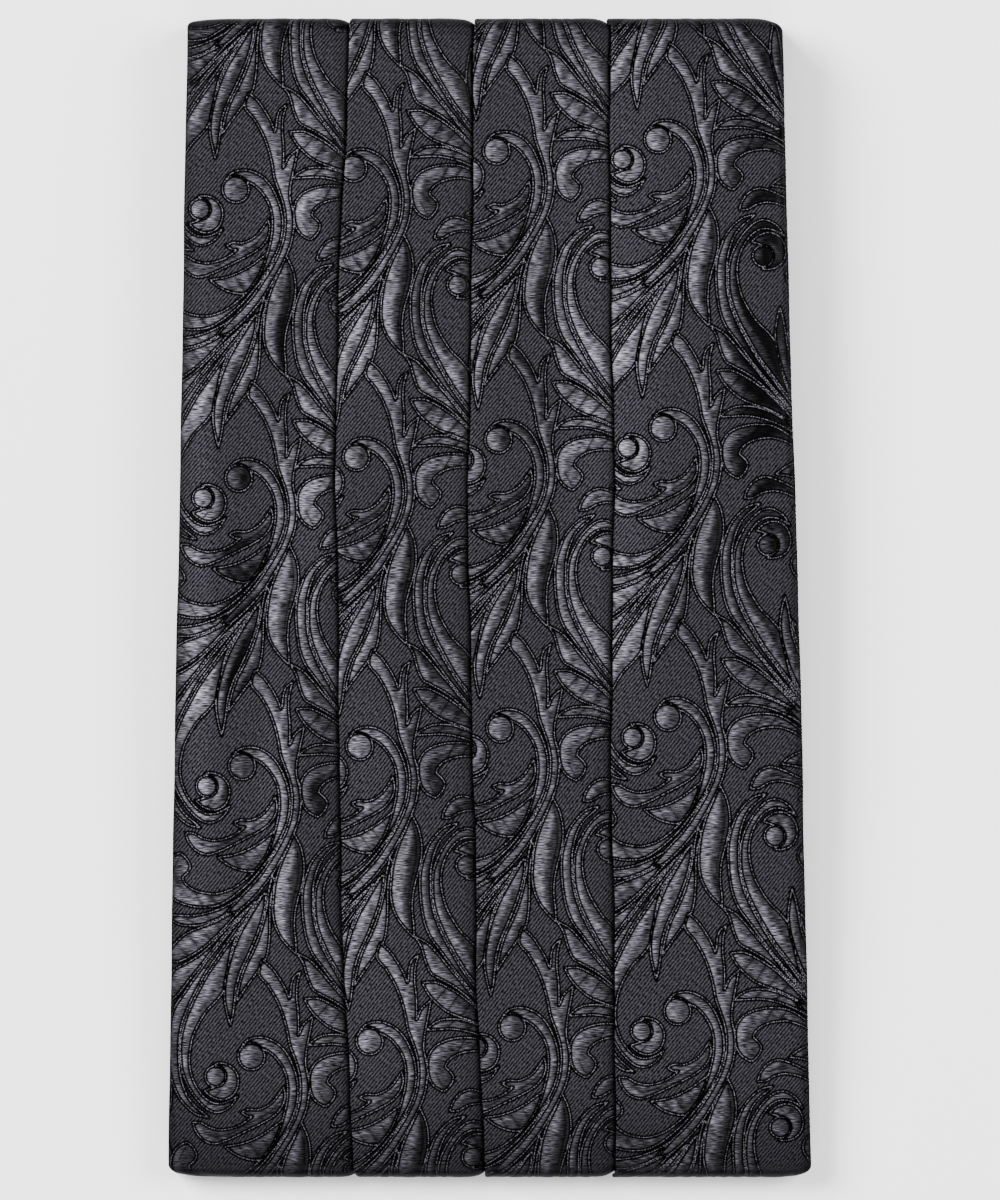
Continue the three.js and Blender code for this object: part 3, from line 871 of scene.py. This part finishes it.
def traced(tree, cloth, flat, edge, lightness):
    """The cloth with its traced lines: dark up to LINE_REACH from an outline, partly a woven line and partly
    painted shade, and dotted on it.
    """
    away = add_node(tree, MATH, {0: edge}, operation="ABSOLUTE")
    line = add_node(tree, RANGE, {"Value": away, "From Min": LINE_REACH[0], "From Max": LINE_REACH[1],
                                  "To Min": 1.0, "To Max": 0.0})
    cloth = add_node(tree, MIX, {0: line, MIX_FIRST: cloth, MIX_SECOND: linear("#010101")}, MIXED,
                     data_type="RGBA")
    beads = add_node(tree, NOISE, {"Vector": flat, "Scale": 1 / DOT_SIZE, "Detail": 0.0})
    dots = add_node(tree, MATH, {0: beads, 1: DOT_CONTRAST, 2: DOT_MIDDLE - DOT_CONTRAST / 2},
                    operation="MULTIPLY_ADD", use_clamp=True)
    dots = add_node(tree, MATH, {0: dots, 1: lightness}, operation="MULTIPLY", use_clamp=True)
    thread = add_node(tree, MIX, {0: dots, MIX_FIRST: linear("#0a0a0c"), MIX_SECOND: linear("#6e6b75")},
                      MIXED, data_type="RGBA")
    on_line = add_node(tree, RANGE, {"Value": away, "From Min": DOT_REACH[0], "From Max": DOT_REACH[1],
                                     "To Min": 1.0, "To Max": 0.0})
    return add_node(tree, MIX, {0: on_line, MIX_FIRST: cloth, MIX_SECOND: thread}, MIXED, data_type="RGBA")


# %% [markdown]
# Both weaves and the traced lines make one cloth. The distance to the nearest outline chooses between satin
# and twill. Most of the shine is in the colour, so the reflection on top is kept faint, and a very fine bump
# lets the satin's threads catch a little light. Seen from low down, towards a light, that reflection is still
# strong and washes out the pattern.

# %% Jacquard cloth
CLOTH_ROUGHNESS = 0.35
CLOTH_SPECULAR = 0.02
MOTIF_EDGE = 0.12
THREAD_BUMP = 0.25
THREAD_DEPTH = 0.05


def jacquard():
    """The whole cloth. It reads five stored values: the distance to the nearest outline and to the nearest
    vein, both in mm, the shine and the shade, and the flat cloth's own x and y in mm."""
    material, tree, shader = new_material("silk_jacquard")
    edge, vein, shine, shade = (add_node(tree, ATTRIBUTE, {}, "Fac", attribute_name=name)
                                for name in ("edge_mm", "vein_mm", "shine", "shade"))
    flat = add_node(tree, ATTRIBUTE, {}, "Vector", attribute_name="flat_mm")
    satin, lit = satin_colour(tree, flat, shine, vein)
    ground = twill_colour(tree, flat, shade)
    inside = add_node(tree, RANGE, {"Value": edge, "From Min": -MOTIF_EDGE, "From Max": 0.0, "To Min": 1.0,
                                    "To Max": 0.0})
    cloth = add_node(tree, MIX, {0: inside, MIX_FIRST: ground, MIX_SECOND: satin}, MIXED, data_type="RGBA")
    cloth = traced(tree, cloth, flat, edge, shade)
    tree.links.new(cloth, shader["Base Color"])
    shader["Roughness"].default_value = CLOTH_ROUGHNESS
    shader["Specular IOR Level"].default_value = CLOTH_SPECULAR
    height = add_node(tree, MATH, {0: lit, 1: inside}, operation="MULTIPLY")
    bumped = add_node(tree, BUMP, {"Height": height, "Strength": THREAD_BUMP,
                                   "Distance": THREAD_DEPTH * MM})
    tree.links.new(bumped, shader["Normal"])
    return material


cloth_material = jacquard()
print("material", cloth_material.name, "has", len(cloth_material.node_tree.nodes), "nodes")

# %% [markdown]
# The painted shine of a place comes from how the cloth leans there, and three things make it lean: the
# swells, the pleat's own crown, and the padding of the motif. A painted shade also darkens it just below each
# fold, where the lip shades it, and along the outer edges, where the cloth turns down.

# %% Shine and shade of the face
BASE_SHINE = 0.205
BASE_SHADE = 0.76
SWELL_GAIN = 2.6
SWELL_SHADE = 5.0
CROWN_GAIN = 0.03
LEAN_GAIN = 0.08
BAR_SHADE, BAR_REACH = 0.5, 0.5
FOLD_SHADE, FOLD_REACH = 1.1, 1.15
SIDE_SHADE, SIDE_REACH = 0.8, 1.3
END_SHADE, END_REACH = 0.75, 2.6
FRONT_SHADE, FRONT_REACH = 0.45, 16.0
# Light that is left on cloth that is hidden, and share of it that is lost where the cloth turns round
HIDDEN_LIGHT = 0.3
TURN_LOSS = 0.7
# Share of a pleat's width, from its left side, where its crown is highest
CROWN_AT = 0.45
LEAST_SHINE = 0.02
MOST_SHADE = 1.3


def light_on(x, y, left, right, pleat):
    """How much light reaches each place, from 0 to 1: one less a shade at each side of the pleat and at
    each end, each falling off as an exponential of the distance to it."""
    near_left = SIDE_SHADE * np.exp(-np.maximum(0, x - left) / SIDE_REACH) if pleat == 0 else 0.0
    last = pleat == PLEATS - 1
    right_shade, right_reach = (SIDE_SHADE, SIDE_REACH) if last else (FOLD_SHADE, FOLD_REACH)
    near_right = right_shade * np.exp(-np.maximum(0, right - x) / right_reach)
    near_end = END_SHADE * np.exp(-np.maximum(0, half_length - y) / END_REACH)
    near_front = FRONT_SHADE * np.exp(-(np.maximum(0, half_length + y) / FRONT_REACH) ** 2)
    return np.clip(1 - near_left - near_right, 0, 1) * (1 - near_end) * (1 - near_front)


def write_looks(mesh, pleat, path, x, y, shown, swollen, across, down, edge, vein):
    """Store what the material reads. The shine is a painted sheen: a base plus the lean's share, dimmed by
    the painted light and by a painted shade next to the bars of a leaf. The ground is dull, so only the
    bright sides of the swells change its painted shade."""
    lines = pleat_lines(path[:, 4])
    left, right = (lines[pleat + i][:, None] + wander(path[:, :1], pleat + i) for i in (0, 1))
    seen = HIDDEN_LIGHT + (1 - HIDDEN_LIGHT) * np.minimum(1, 2 * shown)
    light = light_on(x, y, left, right, pleat) * seen * (1 - TURN_LOSS * path[:, 5:6])
    crown = CROWN_GAIN * (CROWN_AT - (x - left) / (right - left))
    slope = swells(x, y)[1] * swollen
    # Painted sheen: the shine is brighter where the cloth leans to the left, towards the window, and darker
    # where it leans away.
    shine = BASE_SHINE + SWELL_GAIN * slope + crown + LEAN_GAIN * read_field(lean, across, down)
    # Painted shade on the satin next to each bar of a leaf, fading with the distance from the bar.
    bars = 1 - BAR_SHADE * np.exp(-vein * SQUARE / BAR_REACH)
    write_value(mesh, "edge_mm", edge * SQUARE)
    write_value(mesh, "vein_mm", vein * SQUARE)
    shade = np.minimum(BASE_SHADE + SWELL_SHADE * np.maximum(slope, 0), MOST_SHADE)
    write_value(mesh, "shine", np.clip(shine, LEAST_SHINE, 1) * light * bars)
    write_value(mesh, "shade", shade * light)
    write_vector(mesh, "flat_mm", np.stack([across * SQUARE, -down * SQUARE, 0 * down], axis=-1))


# %% Make the strips of cloth
def cloth_strip(pleat, half):
    """One pleat of one half as a closed strip. A point stands off its station by its height, with the
    swells and the relief of the weave added on the face that shows."""
    path, unrolled_y = paths[half]
    x, height, shown = pleat_section(pleat, path, FACE_STEP[half])
    y = np.broadcast_to(path[:, :1], x.shape)
    across, down = chart_place(pleat, x, y, np.broadcast_to(unrolled_y[:, None], x.shape))
    edge = np.where(shown > 0, read_field(edge_field, across, down), FAR)
    vein = np.where(shown > 0, read_field(vein_field, across, down), FAR)
    swollen = (path[:, 4:5] <= 1.0) * (1 - path[:, 5:6]) * shown if half == "upper" else 0 * shown
    woven = (read_field(relief, across, down) - RELIEF) * shown
    raised = height + woven + swells(x, y)[0] * swollen
    x = drawn_in(x, path)
    points = np.stack([x, path[:, :1] + path[:, 2:3] * raised, path[:, 1:2] + path[:, 3:4] * raised],
                      axis=-1)
    mesh = tube_mesh(f"pleat_{pleat + 1}_{half}", points * MM)
    write_looks(mesh, pleat, path, x, y, shown, swollen, across, down, edge, vein)
    return add_piece(mesh.name, mesh, "pleated_sash", cloth_material)


strips = {}
for half in ("upper", "lower"):
    for pleat in range(PLEATS):
        strips[pleat, half] = cloth_strip(pleat, half)
        mesh = strips[pleat, half].data
        print(mesh.name, "has", sum(len(p.vertices) - 2 for p in mesh.polygons), "triangles")

# %% [markdown]
# The cloth is one sheet in real life, and it lies in three layers beside each fold: the face, a layer that is
# folded back inside the lip, and one that runs on below it. How deep these go shows in the pattern, which
# skips a strip of the scroll at each fold. Half of what it skips is the depth of one layer. The mesh's lip
# is one thick layer in place of two, so a strip's mesh holds less cloth than the size given here.


# %% [markdown]
# The strap is plain woven webbing. It lies between the halves, fastened to a flat clasp, and only its edges
# show from the sides. Its section is a flat bar with round edges, carried along the route of the CAD model.

# %% Sizes and route of the straps, as in the CAD model
CLEARANCE = 0.3
STRAP_WIDTH = 25.0
STRAP_THICKNESS = 1.2
SEAM_LENGTH = 12.0
STRAP_SLOPE = 34.0
LOOP_GAP = 0.4
LOOP_TAIL = 14.0
TAIL_SLOPE = 5.0
CLASP_LENGTH = 22.0
CLASP_THICKNESS = 1.0
CLASP_BAR = 3.0

bar_inner_y = CLASP_LENGTH / 2 - CLASP_BAR
loop_radius = (CLASP_THICKNESS + STRAP_THICKNESS) / 2 + LOOP_GAP
loop_inset = np.sqrt((CLASP_THICKNESS / 2 + LOOP_GAP - CLEARANCE) ** 2 - (CLASP_THICKNESS / 2) ** 2)
lower_run = lower_inner + CLEARANCE + STRAP_THICKNESS / 2
clasp_height = lower_run + loop_radius
tail_height = lower_run + STRAP_THICKNESS + CLEARANCE
turn_radius = loop_radius + (STRAP_THICKNESS + CLEARANCE) / 2
room_needed = lower_run + 2 * turn_radius + STRAP_THICKNESS / 2 + 2 * CLEARANCE
rise_share = (room_needed - upper_inner_at_centre) / (upper_inner - upper_inner_at_centre)
rise_angle = np.arcsin(np.clip(rise_share, 0, 1))
strap_turn_y = centre_fold_y + (turn_end_y - centre_fold_y) * rise_angle / (np.pi / 2)
print("the long strap turns back at y", round(strap_turn_y, 1), "mm")


def arc(y, z, radius, from_angle, to_angle, steps=16):
    """Points on a circle between two angles, seen from the side."""
    angle = np.linspace(from_angle, to_angle, steps + 1)
    return np.stack([y + radius * np.cos(angle), z + radius * np.sin(angle)], axis=1)


def clasp_loop(side):
    """A strap's way round the clasp's bar and back along itself to the end of its tail."""
    loop = arc(side * (bar_inner_y + loop_inset), clasp_height, loop_radius, DOWN, DOWN - side * np.pi)
    tail = [(side * (CLASP_LENGTH / 2 + CLEARANCE), clasp_height + loop_radius),
            (side * (CLASP_LENGTH / 2 + TAIL_SLOPE), tail_height),
            (side * (CLASP_LENGTH / 2 + LOOP_TAIL), tail_height)]
    return np.vstack([loop, tail])


def short_route():
    """From its seam below the lower turned-in end, along the lower half, to the clasp."""
    height = lower_turn_inner - CLEARANCE - STRAP_THICKNESS / 2
    start = [(turn_end_y + SEAM_LENGTH, height), (turn_end_y - CLEARANCE, height),
             (turn_end_y - SEAM_LENGTH, lower_run)]
    return np.vstack([start, clasp_loop(1)])


def long_route():
    """From its seam above the upper turned-in end, out below the upper half, round, and back to the
    clasp. The slope down is a smooth step."""
    height = upper_turn_inner + CLEARANCE + STRAP_THICKNESS / 2
    upper_run = lower_run + 2 * turn_radius
    share = np.linspace(0, 1, 9)[1:]
    slope = np.stack([turn_end_y - CLEARANCE - share * STRAP_SLOPE,
                      height + (upper_run - height) * share**2 * (3 - 2 * share)], axis=1)
    start = [(turn_end_y + SEAM_LENGTH, height), (turn_end_y - CLEARANCE, height)]
    round_turn = arc(strap_turn_y, lower_run + turn_radius, turn_radius, UP, UP + np.pi)
    return np.vstack([start, slope, round_turn, clasp_loop(-1)])


# %% Webbing
RIB_SPACING = 1.6
RIB_DEPTH = 0.06
ROUTE_STEP = 1.6
STRAP_COLUMNS = 49
STRAP_EDGE_STEPS = 9
# The pattern of the lower face starts this much further on, so that both faces differ
FACE_SHIFT = 3
PICK_LENGTH = 1.1
PICK_WIDTH = 0.5
PICK_GAP = 0.06
PICK_SOFTNESS = 0.6
PICK_BUMP = 0.6
PICK_DEPTH = 0.08
WEBBING_ROUGHNESS = 0.75


def finer(route, step):
    """The route with more points: straight pieces cut to even steps no longer than the step."""
    pieces = []
    for start, end in zip(route[:-1], route[1:]):
        count = max(1, int(np.ceil(np.hypot(*(end - start)) / step)))
        pieces.append(start + (end - start) * np.arange(count)[:, None] / count)
    return np.vstack(pieces + [route[-1:]])


def webbing():
    """Woven polyester webbing, dull black: rows of short bright picks across it, set half a pick on from
    row to row, drawn from the strap's own flat coordinates."""
    material, tree, shader = new_material("woven_polyester_webbing")
    flat = add_node(tree, ATTRIBUTE, {}, "Vector", attribute_name="flat_mm")
    colour = add_node(tree, "ShaderNodeTexBrick",
                      {"Vector": flat, "Color1": linear("#1a1a1d"), "Color2": linear("#242428"),
                       "Mortar": linear("#0b0b0c"), "Scale": 1.0, "Mortar Size": PICK_GAP,
                       "Mortar Smooth": PICK_SOFTNESS, "Brick Width": PICK_LENGTH,
                       "Row Height": PICK_WIDTH}, "Color")
    tree.links.new(colour, shader["Base Color"])
    bumped = add_node(tree, BUMP, {"Height": colour.node.outputs["Fac"], "Strength": PICK_BUMP,
                                   "Distance": PICK_DEPTH * MM}, invert=True)
    tree.links.new(bumped, shader["Normal"])
    shader["Roughness"].default_value = WEBBING_ROUGHNESS
    return material


def strap_piece(name, node, route, material):
    """A flat bar with round edges along a route. Its faces are ribbed along its length by a low sine
    across it, and a station's outward direction is square to the step from the one before to the next."""
    route = finer(route, ROUTE_STEP)
    step = np.gradient(route, axis=0)
    step /= np.hypot(*step.T)[:, None]
    outward = np.stack([-step[:, 1], step[:, 0]], axis=1)
    half, round_edge = STRAP_THICKNESS / 2, (STRAP_WIDTH - STRAP_THICKNESS) / 2
    across = np.linspace(-round_edge, round_edge, STRAP_COLUMNS)
    ribs = half - RIB_DEPTH * (0.5 - 0.5 * np.cos(2 * np.pi * across / RIB_SPACING))
    bend = np.linspace(-np.pi / 2, np.pi / 2, STRAP_EDGE_STEPS)[1:-1]
    x = np.concatenate([across, round_edge + half * np.cos(bend)[::-1], across[::-1],
                        -round_edge - half * np.cos(bend)])
    height = np.concatenate([ribs, half * np.sin(bend)[::-1], -ribs[::-1], half * np.sin(bend)])
    points = np.stack([np.broadcast_to(x, (len(route), len(x))), route[:, :1] + outward[:, :1] * height,
                       route[:, 1:] + outward[:, 1:] * height], axis=-1)
    mesh = tube_mesh(name, points * MM)
    length = np.concatenate([[0], np.cumsum(np.hypot(*np.diff(route, axis=0).T))])
    sideways = x[None, :] + FACE_SHIFT * (height < 0)
    flat = np.stack(np.broadcast_arrays(length[:, None], sideways, 0.0), axis=-1)
    write_vector(mesh, "flat_mm", flat)
    return add_piece(name, mesh, node, material)


webbing_material = webbing()
short_webbing = strap_piece("short_strap_webbing", "short_strap", short_route(), webbing_material)
long_webbing = strap_piece("long_strap_webbing", "long_strap", long_route(), webbing_material)
print("webbing faces:", len(short_webbing.data.polygons), "and", len(long_webbing.data.polygons))

# %% [markdown]
# The clasp is a flat plate that no one sees while the sash lies folded. The CAD node has the right shape, so
# it stays, with a lacquered metal finish in place of its plain colour.

# %% Clasp finish
# Clouds of the lacquer for each metre, and its least roughness with what the clouds add
CLOUD_SCALE = 700.0
LACQUER_ROUGHNESS = 0.25
CLOUD_ROUGHNESS = 0.2


def lacquered_steel():
    """Black lacquer on sheet steel: a smooth dark coat whose roughness varies a little from place to
    place, as a dipped finish does."""
    material, tree, shader = new_material("black_lacquered_steel")
    place = add_node(tree, "ShaderNodeTexCoord", {}, "Object")
    cloudy = add_node(tree, NOISE, {"Vector": place, "Scale": CLOUD_SCALE})
    roughness = add_node(tree, MATH, {0: cloudy, 1: CLOUD_ROUGHNESS, 2: LACQUER_ROUGHNESS},
                         operation="MULTIPLY_ADD")
    colour = add_node(tree, MIX, {0: cloudy, MIX_FIRST: linear("#1c1c1f"), MIX_SECOND: linear("#26262a")},
                      MIXED, data_type="RGBA")
    tree.links.new(roughness, shader["Roughness"])
    tree.links.new(colour, shader["Base Color"])
    return material


clasp_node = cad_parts["clasp"]
clasp_node.data.materials.clear()
clasp_node.data.materials.append(lacquered_steel())
print("clasp finish:", clasp_node.data.materials[0].name)

# %% [markdown]
# The photograph was taken straight from above, so the camera hangs high over the sash with a long lens, which
# leaves no perspective to see. A pale floor and large soft lights stand in for a light table and a window.

# %% Floor, lights and camera
# What the camera sees, and the middle of that, in mm
VIEW_HEIGHT = 276.0
VIEW_MIDDLE = (2.4, -0.35)
# Places and sizes in metres
CAMERA_HEIGHT = 3.0
CAMERA_REACH = 20.0
FLOOR_GAP = 0.0002
FLOOR_REACH = 2
LIGHT_SIZE = 1.2
SENSOR_WIDTH_MM = 36.0
WORLD_STRENGTH = 0.2
FLOOR_ROUGHNESS = 0.9
# Columns: name, place, power in watts
LIGHTS = [
    ("window", (-1.5, 0.9, 1.3), 165.0),
    ("second_window", (1.6, 0.5, 1.4), 75.0),
    ("front_card", (0.1, -1.8, 1.5), 50.0),
]


def soft_light(name, place, power):
    """A square area light that faces the middle of the sash: it is turned by the angle of that direction
    from straight down, and by its bearing."""
    data = bpy.data.lights.new(name, "AREA")
    data.size = LIGHT_SIZE
    data.energy = power
    light = bpy.data.objects.new(name, data)
    light.location = place
    toward = -np.array(place)
    light.rotation_euler = (np.arctan2(np.hypot(toward[0], toward[1]), -toward[2]), 0.0,
                            np.arctan2(toward[1], toward[0]) - np.pi / 2)
    bpy.context.scene.collection.objects.link(light)


floor_mesh = bpy.data.meshes.new("floor")
floor_corners = [(x * FLOOR_REACH, y * FLOOR_REACH, -FLOOR_GAP)
                 for x, y in ((-1, -1), (1, -1), (1, 1), (-1, 1))]
floor_mesh.from_pydata(floor_corners, [], [(0, 1, 2, 3)])
floor = bpy.data.objects.new("floor", floor_mesh)
bpy.context.scene.collection.objects.link(floor)
floor_material, _, floor_shader = new_material("white_card")
floor_shader["Base Color"].default_value = linear("#fbfbfc")
floor_shader["Roughness"].default_value = FLOOR_ROUGHNESS
floor_mesh.materials.append(floor_material)

for name, place, power in LIGHTS:
    soft_light(name, place, power)
world = bpy.data.worlds.new("studio")
world.use_nodes = True
world.node_tree.nodes["Background"].inputs["Color"].default_value = linear("#ffffff")
world.node_tree.nodes["Background"].inputs["Strength"].default_value = WORLD_STRENGTH
bpy.context.scene.world = world

camera_data = bpy.data.cameras.new("camera")
camera_data.sensor_width = SENSOR_WIDTH_MM
camera_data.lens = camera_data.sensor_width * CAMERA_HEIGHT / (VIEW_HEIGHT * MM)
camera_data.clip_end = CAMERA_REACH
camera = bpy.data.objects.new("camera", camera_data)
camera.location = (VIEW_MIDDLE[0] * MM, VIEW_MIDDLE[1] * MM, CAMERA_HEIGHT)
bpy.context.scene.collection.objects.link(camera)
bpy.context.scene.camera = camera
print("lens:", round(camera_data.lens), "mm")
